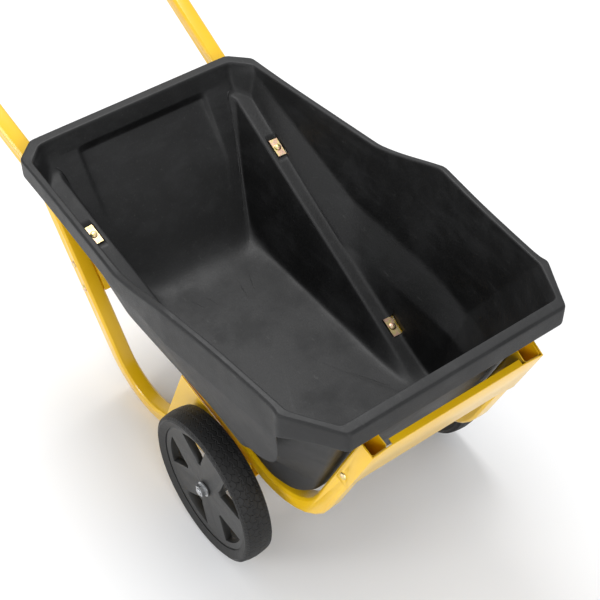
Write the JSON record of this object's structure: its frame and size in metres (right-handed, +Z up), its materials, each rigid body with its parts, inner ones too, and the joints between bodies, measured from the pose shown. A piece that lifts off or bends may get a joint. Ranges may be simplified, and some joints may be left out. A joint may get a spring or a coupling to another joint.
{
  "type": "garden cart",
  "caption": "Two-wheeled garden cart: a moulded tub bolted to a bent square-tube frame with two foot legs, a nose plate and a push handle loop.",
  "frame": {"origin": "on the ground under the middle of the cart's bounding box, with the cart standing on its two wheels and two legs", "axes": "+Z up; -Y towards the nose, where the tub is tipped out; +Y towards the push handle; +X towards the side whose nodes are named left"},
  "size_m": [0.695, 1.6164, 0.7526],
  "materials": {
    "tub": "matte moulded polyethylene, near black",
    "yellow_paint": "glossy yellow powder coat",
    "tyre": "black rubber",
    "hub": "satin dark grey plastic",
    "zinc": "yellow passivated zinc plate",
    "steel": "bright zinc plate",
    "bush": "dark grey plastic",
    "grip": "black foam"
  },
  "bodies": {
    "chassis": {"axle": "zinc", "axle_nut_left": "zinc", "axle_nut_right": "zinc", "axle_plate_left": "yellow_paint", "axle_plate_right": "yellow_paint", "axle_spacer_left": "steel", "axle_spacer_right": "steel", "axle_washer_left": "zinc", "axle_washer_right": "zinc", "brace_bolt_lower_left": "zinc", "brace_bolt_lower_right": "zinc", "brace_bolt_upper_left": "zinc", "brace_bolt_upper_right": "zinc", "brace_nut_lower_left": "zinc", "brace_nut_lower_right": "zinc", "brace_nut_upper_left": "zinc", "brace_nut_upper_right": "zinc", "frame_tube_left": "yellow_paint", "frame_tube_right": "yellow_paint", "handle_bolt_left": "zinc", "handle_bolt_right": "zinc", "handle_grip": "grip", "handle_loop": "yellow_paint", "handle_nut_left": "zinc", "handle_nut_right": "zinc", "handle_splice_left": "steel", "handle_splice_right": "steel", "leg_brace": "yellow_paint", "leg_left": "yellow_paint", "leg_right": "yellow_paint", "nose_bolt_left": "zinc", "nose_bolt_right": "zinc", "nose_nut_left": "zinc", "nose_nut_right": "zinc", "nose_plate": "yellow_paint", "tub": "tub", "tub_bolt_front_left": "zinc", "tub_bolt_front_right": "zinc", "tub_bolt_rear_left": "zinc", "tub_bolt_rear_right": "zinc", "tub_nut_front_left": "zinc", "tub_nut_front_right": "zinc", "tub_nut_rear_left": "zinc", "tub_nut_rear_right": "zinc", "tub_plate_front_left": "zinc", "tub_plate_front_right": "zinc", "tub_plate_rear_left": "zinc", "tub_plate_rear_right": "zinc"},
    "wheel_right": {"tyre_right": "tyre", "hub_right": "hub", "bush_outer_right": "bush", "bush_inner_right": "bush"},
    "wheel_left": {"tyre_left": "tyre", "hub_left": "hub", "bush_outer_left": "bush", "bush_inner_left": "bush"}
  },
  "joints": [
    {"name": "wheel_right_spin", "type": "hinge", "parent": "chassis", "child": "wheel_right", "pos_m": [-0.291, -0.40044, 0.178], "axis": [1, 0, 0], "continuous": true},
    {"name": "wheel_left_spin", "type": "hinge", "parent": "chassis", "child": "wheel_left", "pos_m": [0.291, -0.40044, 0.178], "axis": [1, 0, 0], "continuous": true}
  ]
}
